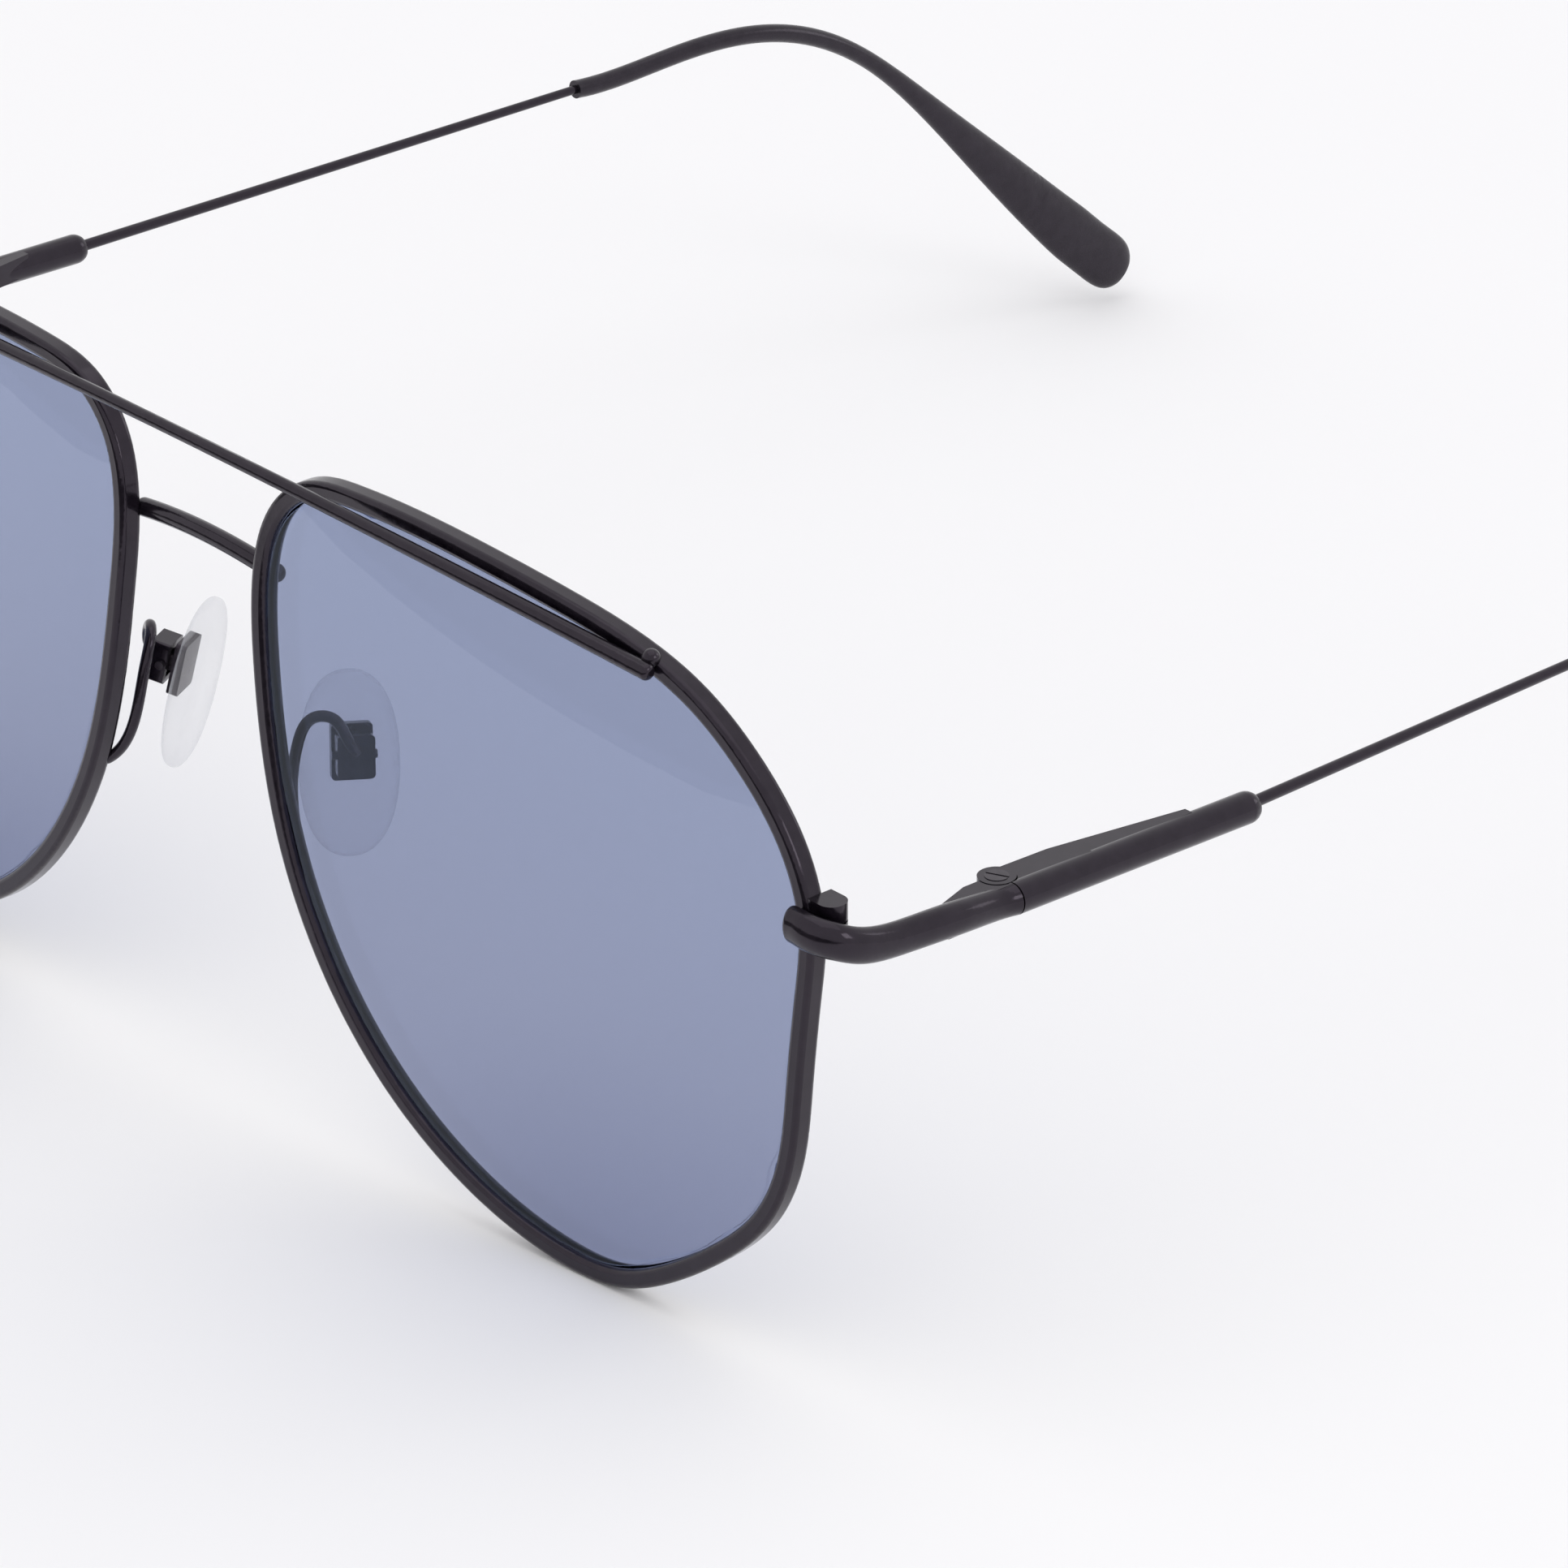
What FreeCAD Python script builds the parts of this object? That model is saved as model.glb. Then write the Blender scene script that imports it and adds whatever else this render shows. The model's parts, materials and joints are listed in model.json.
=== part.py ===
"""Aviator sunglasses: wire front, folding temples, rocking nose pads.

The wearer looks along -Y, +X is the wearer's left and +Z is up. Everything is
modelled on the +X side and mirrored, then moved so that the origin is the middle
of the footprint, on the table the sunglasses stand on. Sizes are in millimetres.
"""
import FreeCAD, Part
import math
import os
from FreeCAD import Vector as V

os.makedirs("parts", exist_ok=True)

# Lens and rim
LENS_CENTRE = V(33.0, 0.0, 26.15)
WRAP_DEG = 2.63            # each lens is turned this far round the face
BASE_RADIUS = 263.0        # the lenses and rims lie on a sphere of this radius
RIM_OUTLINE = [
    (33.58, 11.90), (31.50, 16.97), (27.39, 21.64), (22.36, 25.12), (16.35, 27.25),
    (9.32, 28.41), (1.35, 29.11), (-6.57, 29.42), (-13.89, 29.19), (-19.56, 27.98),
    (-23.05, 24.69), (-24.48, 19.48), (-24.18, 12.89), (-23.05, 5.38), (-21.24, -1.22),
    (-18.40, -7.34), (-14.58, -12.81), (-9.87, -17.47), (-4.39, -21.13), (1.73, -23.75),
    (8.05, -25.14), (14.00, -25.03), (19.33, -22.70), (24.93, -18.71), (29.27, -14.27),
    (31.68, -9.10), (32.73, -2.35), (33.57, 5.78),
]
RIM_WIDE = 1.5
RIM_DEEP = 1.8
RIM_CORNER = 0.42
RIM_SLIT = 0.2             # gap between the rim's two ends, closed by the rim lock
GROOVE_HALF = 0.33
GROOVE_BOTTOM = 0.30       # from the rim's centre line
LENS_FRONT = 0.45          # lens faces, measured from the rim's middle sphere
LENS_BACK = -0.95
LENS_INSET = 0.80
TONGUE_INSET = 0.38
TONGUE_HALF = 0.25

# Brow bar and bridge
BROW_HALF = 52.3
BROW_Y = -1.42
BROW_Z = 55.5
BROW_BOW = 0.001
BROW_RADII = (0.50, 0.68)
BRIDGE_HALF = 8.0
BRIDGE_Y = 1.95
BRIDGE_Z = 45.8
BRIDGE_RADIUS = 0.75

# Endpiece, hinge and temple
BAR_PATH = [V(66.2, 2.16, 37.78), V(67.4, 2.17, 37.78), V(68.8, 2.32, 37.7), V(69.95, 3.05, 37.45),
            V(70.55, 4.3, 36.95), V(70.72, 6.3, 36.4), V(70.72, 10.0, 36.05), V(70.72, 15.0, 35.8),
            V(70.72, 19.6, 35.52)]
BAR_TALL = (2.9, 2.95, 3.0, 3.0, 2.95, 2.8, 2.65, 2.55, 2.5)
BAR_THICK = (1.9, 1.9, 1.95, 2.0, 2.0, 2.05, 2.2, 2.35, 2.45)
BAR_START_EDGE = 0.35
HINGE = V(69.0, 19.6, 35.52)
EYE_RADIUS = 1.45
EYE_GAP = 0.07             # between the eyes and the recesses they turn in
LEAF_INNER = 0.50          # the two leaves of the endpiece, above and below the middle
KNUCKLE_HALF = 0.44
HINGE_HALF = 1.25
SCREW_RADIUS = 0.60
SCREW_PLAY = 0.05
SCREW_HEAD = 0.92
JOINT_GAP = 0.10
TUBE_RADIUS = 1.25
TUBE_END = V(70.60, 42.9, 35.11)
WIRE_END = V(68.9, 100.7, 35.45)
WIRE_RADII = (0.48, 0.38)
TIP_PATH = [V(69.03, 96.3, 35.43), V(68.68, 108.0, 35.7), V(68.2, 118.2, 35.1), V(67.6, 126.2, 31.7),
            V(66.6, 136.0, 23.2), V(65.4, 147.3, 11.6), V(64.3, 157.2, 2.35)]

# Nose pads
PAD_CENTRE = V(9.5, 7.4, 28.2)
PAD_UP = V(-0.168, 0.148, 0.975)
PAD_FACE = V(-0.87, 0.5, 0.0)
PAD_LONG = 14.6
PAD_WIDE = 7.8
PAD_THICK = 2.3
PIN_OFFSET = 2.55          # from the pad's middle out to the pin
PIN_RAISE = 1.2            # the pin sits above the pad's middle
PIN_RADIUS = 0.35
ARM_RADIUS = 0.45

WRAP = math.radians(WRAP_DEG)
ACROSS = V(math.cos(WRAP), math.sin(WRAP), 0)
FRONT = V(math.sin(WRAP), -math.cos(WRAP), 0)
MIRROR = V(1, 0, 0)


# ---------------------------------------------------------------- helpers
def to_world(shape):
    """Carry a shape from the lens's own frame (across, up, forwards) to the glasses."""
    m = FreeCAD.Matrix(
        ACROSS.x, 0, FRONT.x, LENS_CENTRE.x,
        ACROSS.y, 0, FRONT.y, LENS_CENTRE.y,
        0, 1, 0, LENS_CENTRE.z,
        0, 0, 0, 1)
    return shape.transformed(m, True)


def spline(points, closed=False):
    """A smooth curve through the points."""
    curve = Part.BSplineCurve()
    curve.interpolate(Points=points, PeriodicFlag=closed)
    return curve


def round_wire(points, radius):
    """A bent wire of one radius with half-round ends."""
    curve = spline(points)
    path = Part.Wire(curve.toShape())
    start = curve.tangent(curve.FirstParameter)[0]
    ring = Part.Wire(Part.Circle(points[0], start, radius).toShape())
    solid = path.makePipeShell([ring], True, False)
    solid = solid.fuse([Part.makeSphere(radius, points[0]), Part.makeSphere(radius, points[-1])])
    return solid.removeSplitter()


def cylinder(radius, low, high, at=HINGE):
    """An upright cylinder between two heights given from the middle of the hinge."""
    return Part.makeCylinder(radius, high - low, V(at.x, at.y, at.z + low))


def plate(points, low, high, at=HINGE):
    """A level plate with the outline given from the hinge axis."""
    corners = [V(at.x + x, at.y + y, at.z + low) for x, y in points]
    face = Part.Face(Part.makePolygon(corners + corners[:1]))
    return face.extrude(V(0, 0, high - low))


def one_solid(shape):
    """The single solid of a boolean result."""
    solids = sorted(shape.Solids, key=lambda s: -s.Volume)
    return solids[0]


def mirrored(shape):
    return shape.mirror(V(0, 0, 0), MIRROR)


# ---------------------------------------------------------------- rim and lens
def rim_curve():
    """The rim's centre line, in the lens's frame, on the base sphere."""
    points = []
    for a, b in RIM_OUTLINE:
        sag = BASE_RADIUS - math.sqrt(BASE_RADIUS ** 2 - a * a - b * b)
        points.append(V(a, b, -sag))
    return spline(points, True)


def rim_section(at, out):
    """The rim's cross-section: a rounded bar with the lens groove on its inner side."""
    fwd = V(0, 0, 1)
    w = RIM_WIDE / 2.0
    d = RIM_DEEP / 2.0
    r = RIM_CORNER
    k = r * (1 - math.sqrt(0.5))

    def p(u, v):
        return at + out * u + fwd * v

    bottom = -GROOVE_BOTTOM
    parts = [
        Part.makeLine(p(-w, GROOVE_HALF), p(-w, d - r)),
        Part.Arc(p(-w, d - r), p(-w + k, d - k), p(-w + r, d)).toShape(),
        Part.makeLine(p(-w + r, d), p(w - r, d)),
        Part.Arc(p(w - r, d), p(w - k, d - k), p(w, d - r)).toShape(),
        Part.makeLine(p(w, d - r), p(w, r - d)),
        Part.Arc(p(w, r - d), p(w - k, k - d), p(w - r, -d)).toShape(),
        Part.makeLine(p(w - r, -d), p(r - w, -d)),
        Part.Arc(p(r - w, -d), p(k - w, k - d), p(-w, r - d)).toShape(),
        Part.makeLine(p(-w, r - d), p(-w, -GROOVE_HALF)),
        Part.makeLine(p(-w, -GROOVE_HALF), p(bottom, -GROOVE_HALF)),
        Part.makeLine(p(bottom, -GROOVE_HALF), p(bottom, GROOVE_HALF)),
        Part.makeLine(p(bottom, GROOVE_HALF), p(-w, GROOVE_HALF)),
    ]
    return Part.Wire(parts)


def make_rim(curve):
    """The eyewire: one bar bent round the lens, its ends meeting at the rim lock."""
    first = curve.FirstParameter
    last = curve.LastParameter
    step = RIM_SLIT / 2.0 / curve.length() * (last - first)
    path = Part.Wire(curve.toShape(first + step, last - step))
    at = curve.value(first + step)
    run = curve.tangent(first + step)[0]
    out = V(run.y, -run.x, 0)
    out.normalize()
    sweep = Part.BRepOffsetAPI.MakePipeShell(path)
    sweep.setBiNormalMode(V(0, 0, 1))
    sweep.add(rim_section(at, out))
    sweep.build()
    sweep.makeSolid()
    return to_world(sweep.shape())


def outline_prism(curve, inset):
    """A block with the rim's outline moved inwards, right through the lens."""
    points = []
    count = 64
    for i in range(count):
        t = curve.FirstParameter + (curve.LastParameter - curve.FirstParameter) * i / count
        at = curve.value(t)
        run = curve.tangent(t)[0]
        out = V(run.y, -run.x, 0)
        out.normalize()
        points.append(V(at.x - out.x * inset, at.y - out.y * inset, -8))
    face = Part.Face(Part.Wire(spline(points, True).toShape()))
    return face.extrude(V(0, 0, 12))


def ball(offset):
    """The base sphere grown by an offset, its seam and poles turned away from the lens."""
    sphere = Part.makeSphere(BASE_RADIUS + offset)
    sphere.rotate(V(0, 0, 0), V(0, 1, 0), 90)
    sphere.translate(V(0, 0, -BASE_RADIUS))
    return sphere


def make_lens(curve):
    """A curved lens with a thin tongue all round that sits in the rim's groove."""
    body = outline_prism(curve, LENS_INSET).common(ball(LENS_FRONT)).cut(ball(LENS_BACK))
    middle = -0.07
    tongue = outline_prism(curve, TONGUE_INSET)
    tongue = tongue.common(ball(middle + TONGUE_HALF)).cut(ball(middle - TONGUE_HALF))
    return to_world(one_solid(body.fuse(tongue)))


# ---------------------------------------------------------------- front parts
def make_brow_bar():
    """The straight top bar, thicker towards its rounded ends."""
    rings = []
    stations = [i / 8.0 for i in range(-8, 9)]
    for s in stations:
        x = BROW_HALF * s
        here = V(x, BROW_Y + BROW_BOW * x * x, BROW_Z - BROW_BOW * x * x)
        run = V(1, 2 * BROW_BOW * x, -2 * BROW_BOW * x)
        thin, thick = BROW_RADII
        radius = thin + (thick - thin) * abs(s) ** 1.5
        rings.append(Part.Wire(Part.Circle(here, run, radius).toShape()))
    bar = Part.makeLoft(rings, True, False)
    ends = [e for e in bar.Edges if e.Closed and abs(e.CenterOfMass.x) > BROW_HALF - 0.01]
    return one_solid(bar.makeFillet(0.5, ends))


def make_brow_stud(rim, brow):
    """The bead of solder that joins the end of the brow bar to the top of the rim."""
    x = BROW_HALF - 0.9
    at = V(x, BROW_Y + BROW_BOW * x * x + 0.85, BROW_Z - BROW_BOW * x * x + 0.62)
    bead = Part.makeSphere(0.72, at)
    return one_solid(bead.cut(rim).cut(brow))


def make_bridge(rims):
    """The arched wire between the eyes, its flattened ends against the backs of the rims."""
    points = []
    for i in range(7):
        x = BRIDGE_HALF * (i / 3.0 - 1.0)
        points.append(V(x, BRIDGE_Y + 0.0026 * x * x, BRIDGE_Z - 0.0094 * x * x))
    wire = round_wire(points, BRIDGE_RADIUS)
    for rim in rims:
        wire = wire.cut(rim)
    return one_solid(wire)


def make_bar():
    """The endpiece's bar: an oval loft from the front of the rim round to the hinge."""
    curve = spline(BAR_PATH)
    rings = []
    for i, at in enumerate(BAR_PATH):
        run = curve.tangent(curve.parameter(at))[0]
        side = V(run.y, -run.x, 0)
        side.normalize()
        major = at + V(0, 0, BAR_TALL[i] / 2.0)
        minor = at + side * (BAR_THICK[i] / 2.0)
        rings.append(Part.Wire(Part.Ellipse(major, minor, at).toShape()))
    bar = Part.makeLoft(rings, True, False)
    start = [e for e in bar.Edges if e.Closed and abs(e.CenterOfMass.y - BAR_PATH[0].y) < 0.2]
    return bar.makeFillet(BAR_START_EDGE, start)


def make_endpiece(screw, rim):
    """The bent endpiece with the hinge's two outer leaves at its end."""
    body = make_bar()
    neck = plate([(-0.30, -1.40), (-0.30, -3.0), (0.75, -6.2), (1.7, -6.2), (1.7, 0.0), (0, 0)],
                 -HINGE_HALF + 0.05, HINGE_HALF - 0.05)
    eye = cylinder(EYE_RADIUS, -HINGE_HALF, HINGE_HALF)
    body = body.fuse([neck, eye])
    # nothing but the eye stands behind the joint face
    behind = Part.makeBox(8, 6, 8, V(HINGE.x - 4, HINGE.y + JOINT_GAP / 2, HINGE.z - 4))
    body = body.cut(behind.cut(eye))
    slot = cylinder(EYE_RADIUS + EYE_GAP, -LEAF_INNER, LEAF_INNER)
    body = body.cut(slot).cut(screw).cut(rim)
    return one_solid(body)


def make_hinge_screw():
    """The hinge pin: a countersunk head with a slot, and a plain shaft."""
    shaft = cylinder(SCREW_RADIUS, -HINGE_HALF - 0.12, HINGE_HALF - 0.2)
    low = HINGE.z + HINGE_HALF - 0.5
    cone = Part.makeCone(SCREW_RADIUS, SCREW_HEAD, 0.32, V(HINGE.x, HINGE.y, low))
    rim = cylinder(SCREW_HEAD, HINGE_HALF - 0.18, HINGE_HALF + 0.05)
    screw = shaft.fuse([cone, rim]).removeSplitter()
    slot = Part.makeBox(3, 0.24, 0.4, V(HINGE.x - 1.5, HINGE.y - 0.12, HINGE.z + HINGE_HALF - 0.15))
    slot.rotate(HINGE, V(0, 0, 1), 25)
    return one_solid(screw.cut(slot))


def lock_point(curve):
    """Where the rim's two ends meet, in the glasses' frame."""
    at = curve.value(curve.FirstParameter)
    return LENS_CENTRE + ACROSS * at.x + V(0, 0, at.y) + FRONT * at.z


def make_lock(curve, rim, endpiece):
    """The two halves of the rim lock and the screw that draws them together."""
    at = lock_point(curve)
    x0 = at.x + 0.35
    middle = V(at.x + 1.75, at.y + 0.5, at.z)
    halves = []
    for low, high in ((0.06, 1.5), (-1.6, -0.06)):
        box = Part.makeBox(2.5, 2.3, high - low, V(x0, at.y - 0.65, at.z + low))
        upright = [e for e in box.Edges if abs(e.tangentAt(e.FirstParameter).z) > 0.9]
        box = box.makeFillet(1.1, [e for e in upright if e.CenterOfMass.x > x0 + 1.0])
        halves.append(box)
    shaft = Part.makeCylinder(0.45, 2.6, V(middle.x, middle.y, at.z - 1.6))
    head = Part.makeCylinder(0.75, 0.3, V(middle.x, middle.y, at.z - 1.75))
    screw = shaft.fuse(head).removeSplitter()
    slot = Part.makeBox(3, 0.22, 0.2, V(middle.x - 1.5, middle.y - 0.11, at.z - 1.77))
    screw = one_solid(screw.cut(slot))
    upper, lower = [one_solid(h.cut(rim).cut(endpiece).cut(screw)) for h in halves]
    return upper, lower, screw


# ---------------------------------------------------------------- temple
def make_tube(screw_hole):
    """The temple's front: a round bar, a tapering inner rib and the hinge's knuckle."""
    start = V(BAR_PATH[-1].x, HINGE.y + JOINT_GAP, HINGE.z)
    run = TUBE_END - start
    bar = Part.makeCylinder(TUBE_RADIUS, run.Length, start, run)
    end = Part.makeSphere(TUBE_RADIUS, TUBE_END)
    keep = Part.makeCylinder(TUBE_RADIUS, 0.75, TUBE_END, run)
    end = end.common(keep)
    rib = plate([(-1.38, JOINT_GAP), (-1.2, 6.0), (0.75, 18.0), (1.5, 18.0), (1.7, JOINT_GAP)], -0.95, 0.95)
    block = plate([(-0.2, JOINT_GAP), (0.35, 5.0), (1.2, 8.0), (1.8, 8.0), (1.8, JOINT_GAP)], -1.1, 1.1)
    body = bar.fuse([end, rib, block])
    for low, high in ((LEAF_INNER - 0.06, 3.0), (-3.0, 0.06 - LEAF_INNER)):
        body = body.cut(cylinder(EYE_RADIUS + EYE_GAP, low, high))
    front = Part.makeBox(8, 6, 8, V(HINGE.x - 4, HINGE.y + JOINT_GAP - 6, HINGE.z - 4))
    knuckle = cylinder(EYE_RADIUS, -KNUCKLE_HALF, KNUCKLE_HALF)
    body = body.cut(front).fuse(knuckle)
    return one_solid(body.cut(screw_hole).removeSplitter())


def make_temple_wire():
    """The thin tapering wire between the tube and the tip."""
    start = TUBE_END + V(0, -4, 0.07)
    run = WIRE_END - start
    return Part.makeCone(WIRE_RADII[0], WIRE_RADII[1], run.Length, start, run)


def make_tip():
    """The moulded tip: a round sleeve that bends down and flattens into a paddle."""
    curve = spline(TIP_PATH)
    first = curve.FirstParameter
    last = curve.LastParameter
    length = curve.length()
    rings = []
    stations = [0.0, 0.12, 0.25, 0.38, 0.5, 0.62, 0.74, 0.84, 0.92, 0.96, 0.98, 0.992]
    for s in stations:
        t = first + (last - first) * s
        at = curve.value(t)
        run = curve.tangent(t)[0]
        side = V(1, 0, 0) - run * run.x
        side.normalize()
        up = run.cross(side)
        flat = min(1.0, max(0.0, (s - 0.46) / 0.47))
        flat = flat * flat * (3 - 2 * flat)
        tall = 0.80 + 1.80 * flat
        thick = 0.80 + 0.40 * flat
        left = (1 - s) * length
        if left < 2.6:
            cut_back = math.sqrt(max(0.0, 1 - (1 - left / 2.6) ** 2))
            tall *= cut_back
            thick *= math.sqrt(cut_back)
        ring = Part.Ellipse(V(0, 0, 0), tall, thick).toShape()
        m = FreeCAD.Matrix(
            up.x, side.x, run.x, at.x,
            up.y, side.y, run.y, at.y,
            up.z, side.z, run.z, at.z,
            0, 0, 0, 1)
        if abs(up.cross(side).dot(run) - 1) > 0.01:
            m = FreeCAD.Matrix(
                up.x, side.x, -run.x, at.x,
                up.y, side.y, -run.y, at.y,
                up.z, side.z, -run.z, at.z,
                0, 0, 0, 1)
        rings.append(Part.Wire(ring.transformed(m, True)))
    return Part.makeLoft(rings, True, False)


# ---------------------------------------------------------------- nose pad
def pad_axes():
    """Unit vectors of the pad: up its length, out of its nose face, across its width."""
    up = V(PAD_UP).normalize()
    face = V(PAD_FACE) - up * PAD_FACE.dot(up)
    face.normalize()
    return up, face, up.cross(face)


def pad_matrix():
    """From the pad's own frame (across, up, outwards from the nose) to the glasses."""
    up, face, across = pad_axes()
    out = face * -1
    side = up.cross(out)
    return FreeCAD.Matrix(
        side.x, up.x, out.x, PAD_CENTRE.x,
        side.y, up.y, out.y, PAD_CENTRE.y,
        side.z, up.z, out.z, PAD_CENTRE.z,
        0, 0, 0, 1)


def pad_block(wide, tall, deep, x=0.0, y=0.0, z=0.0):
    """A box in the pad's frame, centred on x and y, standing out from depth z."""
    return Part.makeBox(wide, tall, deep, V(x - wide / 2.0, y - tall / 2.0, z))


def make_pad_pieces():
    """The silicone pad, its insert with a lug, the box that holds the lug, and the pin."""
    m = pad_matrix()
    ring = Part.Ellipse(V(0, 0, -PAD_THICK / 2.0), PAD_LONG / 2.0, PAD_WIDE / 2.0).toShape()
    ring.rotate(V(0, 0, 0), V(0, 0, 1), 90)
    pad = Part.Face(Part.Wire(ring)).extrude(V(0, 0, PAD_THICK))
    pad = pad.makeFillet(0.95, [e for e in pad.Edges if isinstance(e.Curve, Part.Ellipse)])
    base = pad_block(3.2, 4.4, 0.9, 0, PIN_RAISE, PAD_THICK / 2.0 - 0.45)
    base = base.makeFillet(0.3, [e for e in base.Edges if abs(e.tangentAt(e.FirstParameter).z) > 0.9])
    lug = pad_block(1.3, 1.3, PIN_OFFSET + 0.55, 0, PIN_RAISE, 0)
    lug = lug.common(pad_block(9, 9, 9, 0, 0, PAD_THICK / 2.0 - 0.2))
    pin = Part.makeCylinder(PIN_RADIUS, 3.5, V(-1.75, PIN_RAISE, PIN_OFFSET), V(1, 0, 0))
    hole = Part.makeCylinder(PIN_RADIUS + 0.05, 5, V(-2.5, PIN_RAISE, PIN_OFFSET), V(1, 0, 0))
    stud = one_solid(base.fuse(lug).removeSplitter().cut(hole))
    pad = one_solid(pad.cut(base))
    box = pad_block(2.9, 3.4, 1.55, 0, PIN_RAISE, PIN_OFFSET - 0.45)
    box = box.makeFillet(0.35, [e for e in box.Edges if abs(e.tangentAt(e.FirstParameter).z) > 0.9])
    inside = pad_block(1.8, 2.3, 1.25, 0, PIN_RAISE, PIN_OFFSET - 0.5)
    box = one_solid(box.cut(inside).cut(pin))
    return [shape.transformed(m, True) for shape in (pad, stud, box, pin)]


def make_pad_arm(rim, box):
    """The U-shaped wire from the back of the rim up, over and down to the pad box."""
    m = pad_matrix()
    top = m.multVec(V(0, PIN_RAISE, PIN_OFFSET + 1.1))
    points = [V(12.1, 0.75, 22.9), V(10.6, 1.3, 24.6), V(9.55, 1.8, 27.6), V(9.35, 2.6, 31.2),
              V(9.95, 3.7, 33.3), V(11.2, 4.6, 33.4), V(12.2, 5.1, 32.0), top + V(0.15, -0.2, 0.6)]
    wire = round_wire(points, ARM_RADIUS)
    return one_solid(wire.cut(rim).cut(box))


# ---------------------------------------------------------------- assembly
def build():
    """Every node of the sunglasses, by name, with the left side made first."""
    curve = rim_curve()
    left = {}
    rim = make_rim(curve)
    left["rim"] = rim
    left["lens"] = make_lens(curve)
    screw = make_hinge_screw()
    left["hinge_screw"] = screw
    left["endpiece"] = make_endpiece(screw, rim)
    upper, lower, lock_screw = make_lock(curve, rim, left["endpiece"])
    left["rim_lock_upper"] = upper
    left["rim_lock_lower"] = lower
    left["rim_lock_screw"] = lock_screw
    hole = cylinder(SCREW_RADIUS + SCREW_PLAY, -3, 3)
    tube = make_tube(hole)
    wire = make_temple_wire()
    left["temple_tube"] = one_solid(tube.cut(wire))
    left["temple_wire"] = wire
    left["temple_tip"] = one_solid(make_tip().cut(wire))
    pad, stud, box, pin = make_pad_pieces()
    left["nose_pad"] = pad
    left["pad_insert"] = stud
    left["pad_box"] = box
    left["pad_pin"] = pin
    left["pad_arm"] = make_pad_arm(rim, box)
    nodes = {}
    for name, shape in left.items():
        nodes[name + "_left"] = shape
        nodes[name + "_right"] = mirrored(shape)
    brow = make_brow_bar()
    nodes["brow_bar"] = brow
    stud = make_brow_stud(rim, brow)
    nodes["brow_bar_studs"] = Part.makeCompound([stud, mirrored(stud)])
    nodes["bridge"] = make_bridge([nodes["rim_left"], nodes["rim_right"]])
    return nodes


NODES = build()
WHOLE = Part.makeCompound(list(NODES.values()))
BOUNDS = WHOLE.optimalBoundingBox(True, False)
SHIFT = V(0, -(BOUNDS.YMin + BOUNDS.YMax) / 2.0, -BOUNDS.ZMin)
for NAME, SHAPE in NODES.items():
    SHAPE.translate(SHIFT)
    SHAPE.exportStep("parts/" + NAME + ".step")
    good = all(s.isValid() and s.isClosed() for s in SHAPE.Solids)
    print(NAME, len(SHAPE.Solids), "solids", round(SHAPE.Volume, 3), "mm3", "valid" if good else "INVALID")
print("bounds before the move", BOUNDS)
print("shift", SHIFT)
print("hinge axis", HINGE + SHIFT)
PIN = pad_matrix().multVec(V(0, PIN_RAISE, PIN_OFFSET)) + SHIFT
UP, FACE, ACROSS_PAD = pad_axes()
print("pad pin", PIN, "axis", UP.cross(FACE * -1))
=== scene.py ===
# %% [markdown]
# # Aviator sunglasses: the looks
#
# The metal parts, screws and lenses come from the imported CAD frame. This script gives every
# part its finish, adds the soft and moulded pieces as smooth surfaces, and sets up a pale
# studio. Lengths are in metres. +X is the wearer's left, the lenses face -Y and +Z is up.

# %% load the frame
import json
import math
import bpy
import numpy as np
from mathutils import Matrix, Vector


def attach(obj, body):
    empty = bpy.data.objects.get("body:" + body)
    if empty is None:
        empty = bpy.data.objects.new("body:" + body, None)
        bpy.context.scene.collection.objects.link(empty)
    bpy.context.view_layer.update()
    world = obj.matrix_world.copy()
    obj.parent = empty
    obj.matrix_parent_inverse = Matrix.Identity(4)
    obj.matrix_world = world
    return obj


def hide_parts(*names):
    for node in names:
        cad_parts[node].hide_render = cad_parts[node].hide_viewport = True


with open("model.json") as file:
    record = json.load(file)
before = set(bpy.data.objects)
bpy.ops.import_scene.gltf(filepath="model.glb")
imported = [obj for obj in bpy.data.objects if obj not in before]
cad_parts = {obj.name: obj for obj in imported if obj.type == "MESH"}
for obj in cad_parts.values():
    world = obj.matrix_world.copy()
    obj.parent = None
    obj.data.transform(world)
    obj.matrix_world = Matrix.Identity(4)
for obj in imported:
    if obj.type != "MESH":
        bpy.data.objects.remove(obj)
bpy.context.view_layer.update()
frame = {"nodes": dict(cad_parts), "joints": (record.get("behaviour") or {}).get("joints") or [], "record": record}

scene = bpy.context.scene
record = frame["record"]
nodes = frame["nodes"]
SIDES = {"left": 1.0, "right": -1.0}
print("parts in the frame:", len(nodes))

# %% [markdown]
# ## Small helpers
#
# A material is a list of nodes wired to one surface shader. Each helper below adds one kind
# of node, so a finish reads as the few steps that make it.


# %% material helpers
def new_material(name):
    """An empty node material and its output node."""
    mat = bpy.data.materials.new(name)
    mat.use_nodes = True
    mat.node_tree.nodes.clear()
    out = mat.node_tree.nodes.new("ShaderNodeOutputMaterial")
    return mat, mat.node_tree, out


def add(tree, kind, **inputs):
    """A node of one kind with some of its inputs set; spaces in names are underscores."""
    node = tree.nodes.new(kind)
    for key, value in inputs.items():
        node.inputs[key.replace("_", " ")].default_value = value
    return node


def noise(tree, scale, detail=3.0, rough=0.5):
    """Noise in the object's own coordinates."""
    where = add(tree, "ShaderNodeTexCoord")
    node = add(tree, "ShaderNodeTexNoise", Scale=scale, Detail=detail, Roughness=rough)
    tree.links.new(where.outputs["Object"], node.inputs["Vector"])
    return node.outputs["Fac"]


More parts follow.
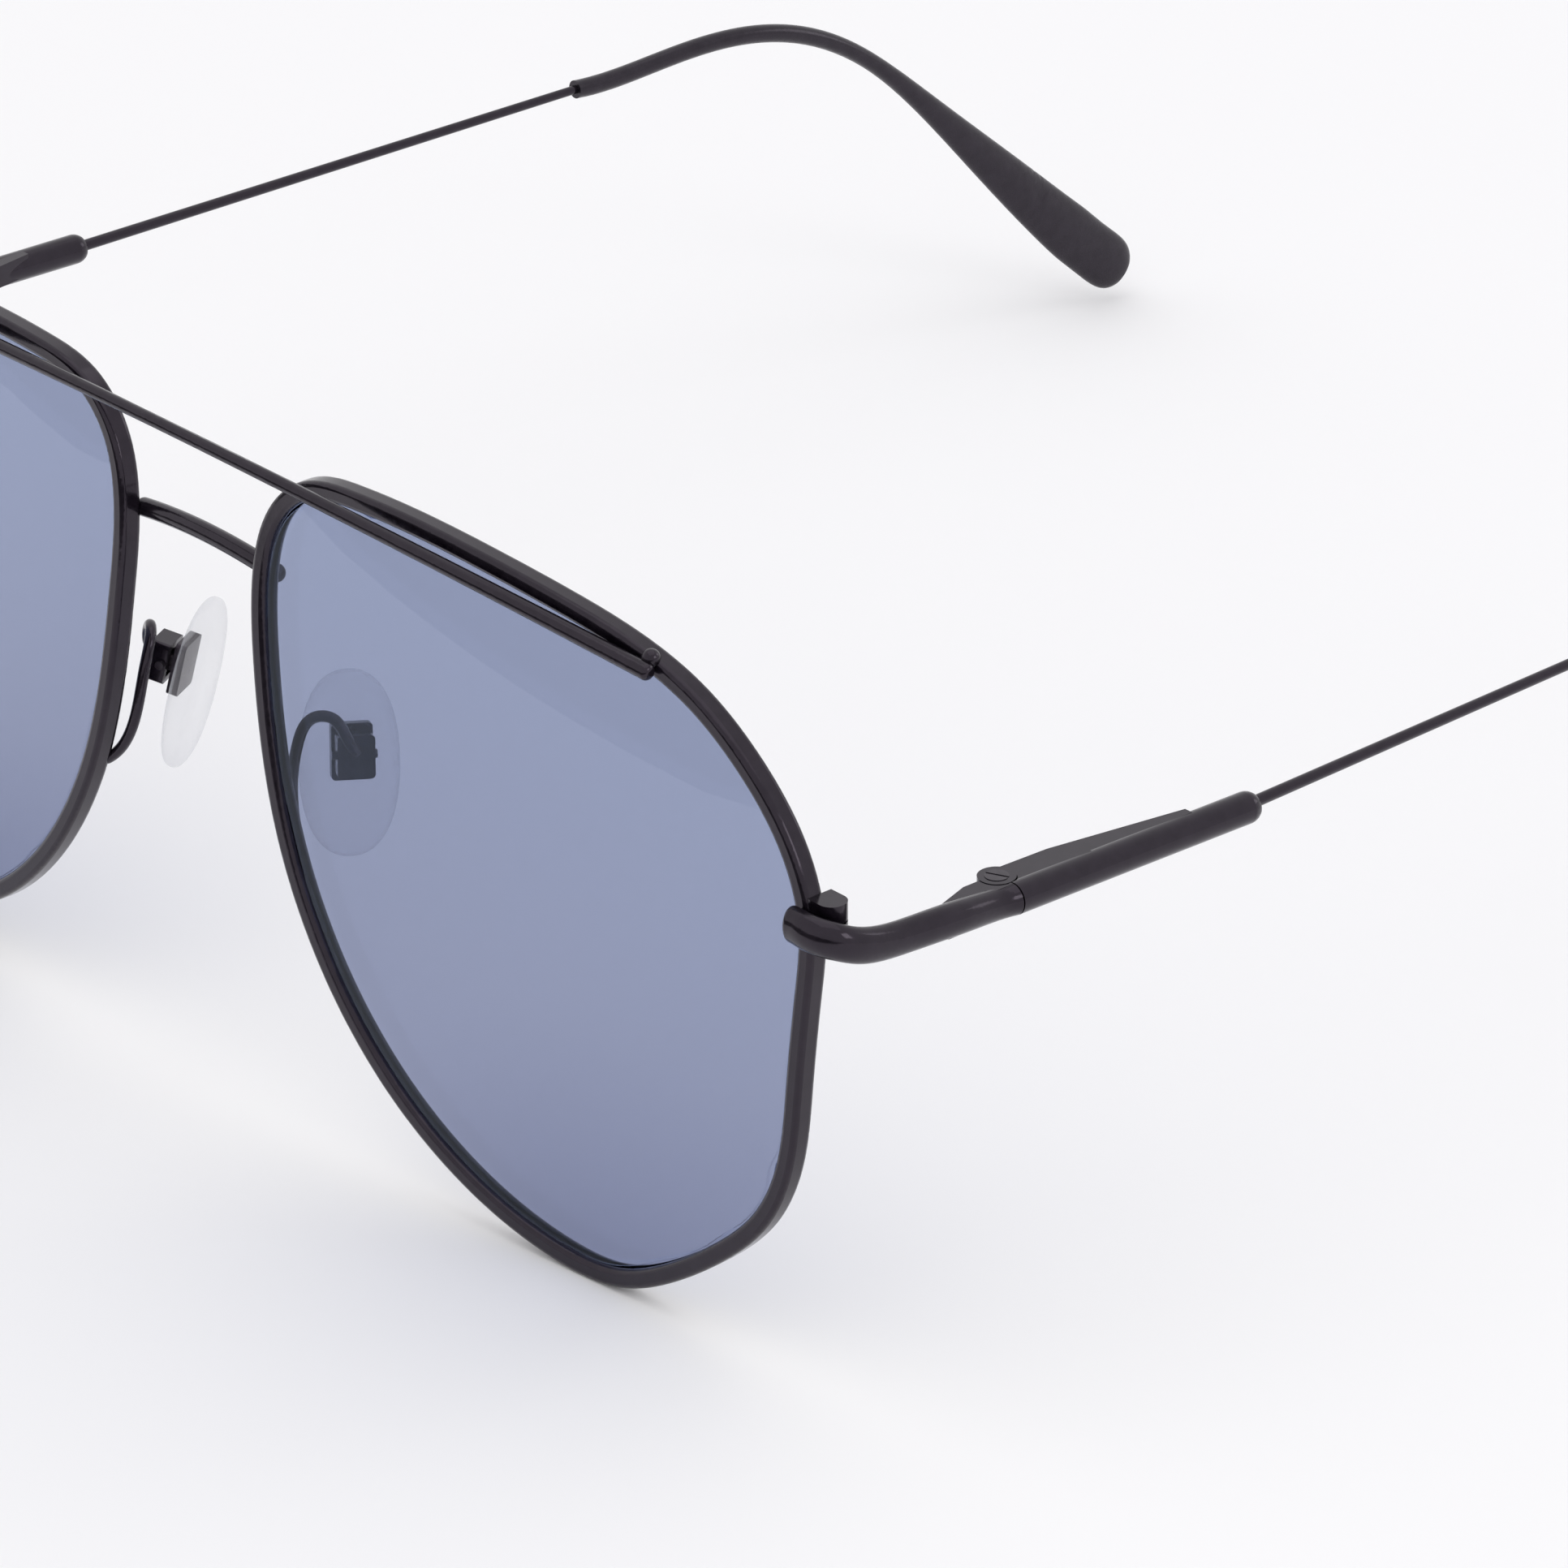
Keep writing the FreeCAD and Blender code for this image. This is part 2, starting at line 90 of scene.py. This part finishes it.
def ramp(tree, value, stops):
    """A colour ramp over a value, with stops as (place, colour)."""
    node = tree.nodes.new("ShaderNodeValToRGB")
    while len(node.color_ramp.elements) < len(stops):
        node.color_ramp.elements.new(0.5)
    for element, (place, colour) in zip(node.color_ramp.elements, stops):
        element.position = place
        element.color = (*colour, 1.0)
    tree.links.new(value, node.inputs["Fac"])
    return node.outputs["Color"]


def spread(tree, value, low, high):
    """A value between 0.3 and 0.7 stretched to run from low to high."""
    node = add(tree, "ShaderNodeMapRange")
    node.inputs["From Min"].default_value = 0.3
    node.inputs["From Max"].default_value = 0.7
    node.inputs["To Min"].default_value = low
    node.inputs["To Max"].default_value = high
    tree.links.new(value, node.inputs["Value"])
    return node.outputs["Result"]


def bumps(tree, value, height, strength=0.3):
    """A bump node's normal from a value."""
    node = add(tree, "ShaderNodeBump", Distance=height, Strength=strength)
    tree.links.new(value, node.inputs["Height"])
    return node.outputs["Normal"]


# %% [markdown]
# ## The black lacquer
#
# The wire parts are drawn nickel alloy, polished and coated with a deep black lacquer. Seen
# square on it is almost black; seen at a slant it mirrors the pale room in a soft mauve grey.
# A dark base under a clear coat does both. Fine noise varies the coat's smoothness, and a
# very low ripple keeps the long highlights from being perfectly ruled lines.


# %% black lacquer
def lacquer(name, base, rough, coat, ripple=0.06):
    """A dark base under a clear coat, its smoothness and surface varied by fine noise."""
    mat, tree, out = new_material(name)
    body = add(tree, "ShaderNodeBsdfPrincipled", IOR=1.44)
    body.inputs["Specular Tint"].default_value = (0.94, 0.80, 1.0, 1.0)
    body.inputs["Coat Weight"].default_value = coat
    body.inputs["Coat Roughness"].default_value = 0.03
    dark, light = base
    tree.links.new(ramp(tree, noise(tree, 900.0), [(0.35, dark), (0.65, light)]), body.inputs["Base Color"])
    tree.links.new(spread(tree, noise(tree, 2500.0), rough * 0.75, rough * 1.3), body.inputs["Roughness"])
    tree.links.new(bumps(tree, noise(tree, 1200.0, 2.0), 0.00002, ripple), body.inputs["Normal"])
    tree.links.new(body.outputs[0], out.inputs["Surface"])
    return mat


black = lacquer("black_lacquer", ((0.0036, 0.0026, 0.0046), (0.0080, 0.0062, 0.0094)), 0.15, 0.12)
steel = lacquer("dark_steel", ((0.012, 0.010, 0.013), (0.030, 0.026, 0.031)), 0.22, 0.15)
plastic = lacquer("black_plastic", ((0.004, 0.0036, 0.005), (0.009, 0.008, 0.0105)), 0.24, 0.1, 0.1)
print("dark finishes:", black.name, steel.name, plastic.name)

# %% [markdown]
# ## The tinted lens
#
# A lens is a clear plastic cap tinted through its thickness, with a polished face. Light
# passes both faces, so each face carries the square root of the whole tint. The tint drifts
# a little, bluer at the top and slightly mauve lower down. Each face mirrors a few per cent
# of the room, more at a slant, by the usual fifth-power rule.


# %% lens tint
def lens_material():
    mat, tree, out = new_material("lens_tint")
    where = add(tree, "ShaderNodeTexCoord")
    split = add(tree, "ShaderNodeSeparateXYZ")
    tree.links.new(where.outputs["Object"], split.inputs["Vector"])
    height = add(tree, "ShaderNodeMapRange")
    height.inputs["From Min"].default_value = 0.0
    height.inputs["From Max"].default_value = 0.056
    tree.links.new(split.outputs["Z"], height.inputs["Value"])
    mixed = add(tree, "ShaderNodeMath")
    mixed.operation = "MULTIPLY_ADD"
    mixed.inputs[1].default_value = 0.12
    tree.links.new(noise(tree, 14.0, 2.0), mixed.inputs[0])
    tree.links.new(height.outputs["Result"], mixed.inputs[2])
    tint = ramp(tree, mixed.outputs[0], [
        (0.0, (0.535, 0.560, 0.672)),
        (0.45, (0.562, 0.592, 0.700)),
        (1.0, (0.560, 0.600, 0.715))])
    clear = add(tree, "ShaderNodeBsdfTransparent")
    tree.links.new(tint, clear.inputs["Color"])
    shine = add(tree, "ShaderNodeBsdfGlossy", Roughness=0.02)
    shine.inputs["Color"].default_value = (0.80, 0.88, 1.0, 1.0)
    facing = add(tree, "ShaderNodeLayerWeight", Blend=0.5)
    power = add(tree, "ShaderNodeMath")
    power.operation = "POWER"
    power.inputs[1].default_value = 5.0
    tree.links.new(facing.outputs["Facing"], power.inputs[0])
    edge = add(tree, "ShaderNodeMath")
    edge.operation = "MULTIPLY_ADD"
    edge.inputs[1].default_value = 0.95
    edge.inputs[2].default_value = 0.03
    tree.links.new(power.outputs[0], edge.inputs[0])
    both = add(tree, "ShaderNodeMixShader")
    tree.links.new(edge.outputs[0], both.inputs[0])
    tree.links.new(clear.outputs[0], both.inputs[1])
    tree.links.new(shine.outputs[0], both.inputs[2])
    tree.links.new(both.outputs[0], out.inputs["Surface"])
    return mat


lens = lens_material()

# %% [markdown]
# ## Clear silicone
#
# The nose pads are soft clear silicone: glossy where it is moulded against polished steel,
# and slightly milky inside.


# %% silicone
def silicone_material():
    mat, tree, out = new_material("clear_silicone")
    body = add(tree, "ShaderNodeBsdfPrincipled", IOR=1.41)
    milk = ramp(tree, noise(tree, 260.0), [(0.3, (0.80, 0.81, 0.83)), (0.7, (0.90, 0.91, 0.92))])
    tree.links.new(milk, body.inputs["Base Color"])
    tree.links.new(spread(tree, noise(tree, 900.0), 0.10, 0.2), body.inputs["Roughness"])
    tree.links.new(bumps(tree, noise(tree, 500.0), 0.00005, 0.1), body.inputs["Normal"])
    clear = add(tree, "ShaderNodeBsdfTransparent")
    clear.inputs["Color"].default_value = (0.965, 0.965, 0.97, 1.0)
    edge = add(tree, "ShaderNodeLayerWeight", Blend=0.35)
    amount = add(tree, "ShaderNodeMapRange")
    amount.inputs["To Min"].default_value = 0.05
    amount.inputs["To Max"].default_value = 0.50
    tree.links.new(edge.outputs["Facing"], amount.inputs["Value"])
    both = add(tree, "ShaderNodeMixShader")
    tree.links.new(amount.outputs["Result"], both.inputs[0])
    tree.links.new(clear.outputs[0], both.inputs[1])
    tree.links.new(body.outputs[0], both.inputs[2])
    tree.links.new(both.outputs[0], out.inputs["Surface"])
    return mat


silicone = silicone_material()

# %% give every CAD part its finish
FINISH = {"lacquered_metal": black, "screw_steel": steel, "tip_plastic": plastic,
          "lens_glass": lens, "pad_silicone": silicone}
for part in record["subparts"]:
    mesh = nodes[part["node"]].data
    mesh.materials.clear()
    mesh.materials.append(FINISH[part["material_slot"]])
print("finished parts:", len(record["subparts"]))

# %% [markdown]
# ## The lens as an optical surface
#
# A real lens is a shell between two spheres, cut to the rim's outline. The outline is read
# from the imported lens, as the farthest point in each direction from its middle. Rings of
# points then run from the middle of the front face out to the edge, round it, and back to
# the middle of the back face. Because the rings are exact spheres, reflections stay smooth.


# %% surface helper
def skin(name, grid, material, body, node=None, closed_ends=True, sharp=35.0):
    """A closed tube of rings. The grid is rings by points by three; each ring is joined to the
    next, each ring closes on itself, and the first and last shrink to one point."""
    rings, count = grid.shape[:2]
    inner = grid[1:-1].reshape(-1, 3)
    verts = np.vstack([grid[0].mean(axis=0)[None], inner, grid[-1].mean(axis=0)[None]])
    here = np.arange(count)
    nxt = (here + 1) % count
    start = 1 + here
    faces = [(0, int(a), int(b)) for a, b in zip(start, 1 + nxt)]
    rows = np.arange(rings - 3)[:, None] * count + 1
    quads = np.stack([rows + here, rows + count + here, rows + count + nxt, rows + nxt], axis=-1)
    faces += [tuple(q) for q in quads.reshape(-1, 4).tolist()]
    last = 1 + (rings - 3) * count
    end = len(verts) - 1
    faces += [(end, int(a), int(b)) for a, b in zip(last + nxt, last + here)]
    mesh = bpy.data.meshes.new(name)
    mesh.from_pydata(verts.tolist(), [], faces)
    mesh.materials.append(material)
    mesh.polygons.foreach_set("use_smooth", [True] * len(mesh.polygons))
    mesh.update()
    volume = sum(p.center.dot(p.normal) * p.area for p in mesh.polygons)
    if volume < 0:
        mesh.flip_normals()
    mesh.set_sharp_from_angle(angle=math.radians(sharp))
    piece = bpy.data.objects.new(name, mesh)
    scene.collection.objects.link(piece)
    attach(piece, body)
    if node:
        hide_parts(node)
    print(name, "has", len(faces), "faces")
    return piece


# %% lenses
RADIUS = 0.263
WRAP = math.radians(2.63)


def points_of(node):
    """The corners of a CAD node's mesh, in the row frame."""
    mesh = nodes[node].data
    flat = np.empty(len(mesh.vertices) * 3)
    mesh.vertices.foreach_get("co", flat)
    return flat.reshape(-1, 3)


def make_lens_piece(side):
    """A shell between two spheres: the sag at a distance from the middle is the radius less
    the height of the sphere there, and the rings scale the outline from nothing to full."""
    sign = SIDES[side]
    across = np.array([math.cos(WRAP), math.sin(WRAP) * sign, 0.0])
    ahead = np.array([math.sin(WRAP) * sign, -math.cos(WRAP), 0.0])
    up = np.array([0.0, 0.0, 1.0])
    cloud = points_of("lens_" + side)
    middle = np.array([0.033 * sign, anchor[1], anchor[2] + 0.02615])
    a = (cloud - middle) @ across
    b = (cloud - middle) @ up
    angle = np.arctan2(b, a)
    reach = np.hypot(a, b)
    count = 288
    bins = np.floor((angle + math.pi) / (2 * math.pi) * count).astype(int) % count
    best = np.zeros(count)
    np.maximum.at(best, bins, reach)
    turn = (np.arange(count) + 0.5) / count * 2 * math.pi - math.pi
    good = best > 0.9 * np.maximum(np.roll(best, 1), np.roll(best, -1))
    edge = np.interp(turn, turn[good], best[good], period=2 * math.pi)
    soft = np.exp(-0.5 * (np.arange(-4, 5) / 1.6) ** 2)
    edge = np.convolve(np.concatenate([edge[-4:], edge, edge[:4]]), soft / soft.sum(), "valid")
    edge = edge - 0.00012
    # (share of the outline, mm in from it, height from the middle sphere) for each ring
    stops = [(0.0, 0.0, 0.45)] + [(k / 9, 0.0, 0.45) for k in range(1, 9)]
    stops += [(1.0, 0.47, 0.45), (1.0, 0.42, 0.40), (1.0, 0.40, 0.15), (1.0, 0.02, 0.11), (1.0, 0.0, 0.08)]
    stops += [(1.0, 0.0, -0.22), (1.0, 0.02, -0.25), (1.0, 0.40, -0.29), (1.0, 0.42, -0.90), (1.0, 0.47, -0.95)]
    stops += [(k / 9, 0.0, -0.95) for k in range(8, 0, -1)] + [(0.0, 0.0, -0.95)]
    rings = []
    for share, inset, lift in stops:
        far = (edge - 0.00047) * share if share < 1 else edge - inset / 1000
        x = far * np.cos(turn)
        y = far * np.sin(turn)
        ball = RADIUS + lift / 1000
        depth = RADIUS - np.sqrt(ball ** 2 - x ** 2 - y ** 2)
        rings.append(middle + x[:, None] * across + y[:, None] * up - depth[:, None] * ahead)
    return skin("lens_shell_" + side, np.array(rings), lens, "front", "lens_" + side)


hinge = [j for j in frame["joints"] if j["name"] == "temple_left_fold"][0]["pos_m"]
anchor = Vector((0.0, hinge[1] - 0.0196, hinge[2] - 0.03552))
for side in SIDES:
    make_lens_piece(side)

# %% [markdown]
# ## Nose pads
#
# Each pad is a soft oval cushion: thick in the middle and thinner and rounded at the rim. It is
# made as rings from the middle of the nose face, over the rim, to the middle of the back, each
# ring a rounded oval that is a little square.


# %% nose pads
def make_pad(side):
    """Rings of a superellipse: across and up are the half width and half length times the
    signed 0.85 power of cosine and sine, and the thickness follows the ring's angle."""
    sign = SIDES[side]
    cloud = points_of("nose_pad_" + side)
    middle = (cloud.min(axis=0) + cloud.max(axis=0)) / 2
    up = np.array([-0.168 * sign, 0.148, 0.975])
    up = up / np.linalg.norm(up)
    face = np.array([-0.87 * sign, 0.5, 0.0])
    face = face - up * (face @ up)
    face = face / np.linalg.norm(face)
    across = np.cross(up, face)
    turn = np.linspace(0, 2 * math.pi, 96, endpoint=False)
    ring_x = np.sign(np.cos(turn)) * np.abs(np.cos(turn)) ** 0.88
    ring_y = np.sign(np.sin(turn)) * np.abs(np.sin(turn)) ** 0.88
    rings = []
    for s in np.linspace(0.0, 1.0, 27):
        swing = math.pi * (s - 0.5)
        out = math.cos(swing) ** 0.55 if abs(swing) < 1.57 else 0.0
        rise = -math.sin(swing)
        lift = 0.00115 * math.copysign(abs(rise) ** 0.75, rise)
        rings.append(middle + ring_x[:, None] * across * 0.0039 * out
                     + ring_y[:, None] * up * 0.0073 * out + face * lift)
    piece = skin("silicone_pad_" + side, np.array(rings), silicone, "pad_" + side, "nose_pad_" + side)
    return piece


for side in SIDES:
    make_pad(side)

# %% [markdown]
# ## The studio
#
# A wide pale floor, a pale sky all round and three soft lights: a broad one overhead, a tall
# one to the wearer's left and a weaker one from behind.


# %% floor, lights and world
def floor_material():
    mat, tree, out = new_material("pale_floor")
    body = add(tree, "ShaderNodeBsdfPrincipled", Roughness=0.9)
    tone = ramp(tree, noise(tree, 3.0), [(0.3, (0.915, 0.913, 0.92)), (0.7, (0.935, 0.932, 0.937))])
    tree.links.new(tone, body.inputs["Base Color"])
    tree.links.new(body.outputs[0], out.inputs["Surface"])
    return mat


def make_floor():
    """A square of floor four metres across, at the height the sunglasses stand on."""
    mesh = bpy.data.meshes.new("floor")
    r = 4.0
    mesh.from_pydata([(-r, -r, 0), (r, -r, 0), (r, r, 0), (-r, r, 0)], [], [(0, 1, 2, 3)])
    mesh.materials.append(floor_material())
    floor = bpy.data.objects.new("floor", mesh)
    scene.collection.objects.link(floor)
    return floor


def soft_light(name, place, size, power, target=(0.0, -0.03, 0.03)):
    """A square soft light aimed at the sunglasses."""
    light = bpy.data.lights.new(name, "AREA")
    light.shape = "SQUARE"
    light.size = size
    light.energy = power
    lamp = bpy.data.objects.new(name, light)
    lamp.location = place
    aim = Vector(target) - Vector(place)
    lamp.rotation_mode = "QUATERNION"
    lamp.rotation_quaternion = aim.to_track_quat("-Z", "Y")
    scene.collection.objects.link(lamp)
    return lamp


def make_painted_reflection_card():
    """A dark card lying on the floor in front, seen only in reflections: a painted dark reflection
    that the lenses and the metal mirror; it casts no shadow and lights nothing."""
    mesh = bpy.data.meshes.new("painted_reflection_card")
    near = anchor[1] - 0.100
    corners = [(-1.2, near - 1.0, 0.0008), (0.9, near - 1.0, 0.0008), (0.9, near, 0.0008), (-1.2, near, 0.0008)]
    mesh.from_pydata(corners, [], [(0, 1, 2, 3)])
    mat, tree, out = new_material("painted_reflection_black")
    body = add(tree, "ShaderNodeBsdfPrincipled", Roughness=0.8)
    # the painted reflection's colour: a dark grey with a little random tone
    tree.links.new(ramp(tree, noise(tree, 5.0), [(0.3, (0.05, 0.05, 0.05)), (0.7, (0.08, 0.08, 0.08))]),
                   body.inputs["Base Color"])
    tree.links.new(body.outputs[0], out.inputs["Surface"])
    mesh.materials.append(mat)
    card = bpy.data.objects.new("painted_reflection_card", mesh)
    scene.collection.objects.link(card)
    card.visible_camera = False
    card.visible_diffuse = False
    card.visible_shadow = False
    card.visible_transmission = False
    return card


make_floor()
# a painted dark reflection in front, seen only in the lenses and the metal
make_painted_reflection_card()
scene.view_settings.view_transform = "Standard"
soft_light("overhead", (0.05, -0.05, 1.2), 1.3, 2.4)
soft_light("side", (0.95, 0.1, 0.5), 0.35, 0.9)
soft_light("back", (0.45, 1.0, 0.5), 0.4, 0.6)

world = bpy.data.worlds.new("studio")
world.use_nodes = True
world.node_tree.nodes["Background"].inputs["Color"].default_value = (0.95, 0.945, 0.96, 1.0)
world.node_tree.nodes["Background"].inputs["Strength"].default_value = 0.92
scene.world = world

# %% [markdown]
# ## The camera
#
# A long lens from the wearer's front left, a little above, which keeps the far temple nearly
# as large as the near one.


# %% camera
def make_camera(place, azimuth, elevation, roll, focal):
    """A camera turned by azimuth, elevation and roll in degrees."""
    a, e, r = (math.radians(v) for v in (azimuth, elevation, roll))
    back = Vector((math.sin(a) * math.cos(e), -math.cos(a) * math.cos(e), math.sin(e)))
    right = (-back).cross(Vector((0, 0, 1))).normalized()
    up = right.cross(-back)
    across = right * math.cos(r) + up * math.sin(r)
    upward = up * math.cos(r) - right * math.sin(r)
    data = bpy.data.cameras.new("camera")
    data.lens = focal
    data.sensor_width = 36.0
    data.clip_start = 0.02
    data.clip_end = 50.0
    camera = bpy.data.objects.new("camera", data)
    turn = Matrix((across, upward, back)).transposed().to_4x4()
    camera.matrix_world = Matrix.Translation(Vector(place)) @ turn
    scene.collection.objects.link(camera)
    return camera


scene.camera = make_camera(anchor + Vector((0.53195, -0.40516, 0.35260)), 48.86, 26.15, -0.33, 223.6)
print("camera at", tuple(round(v, 4) for v in scene.camera.matrix_world.translation))
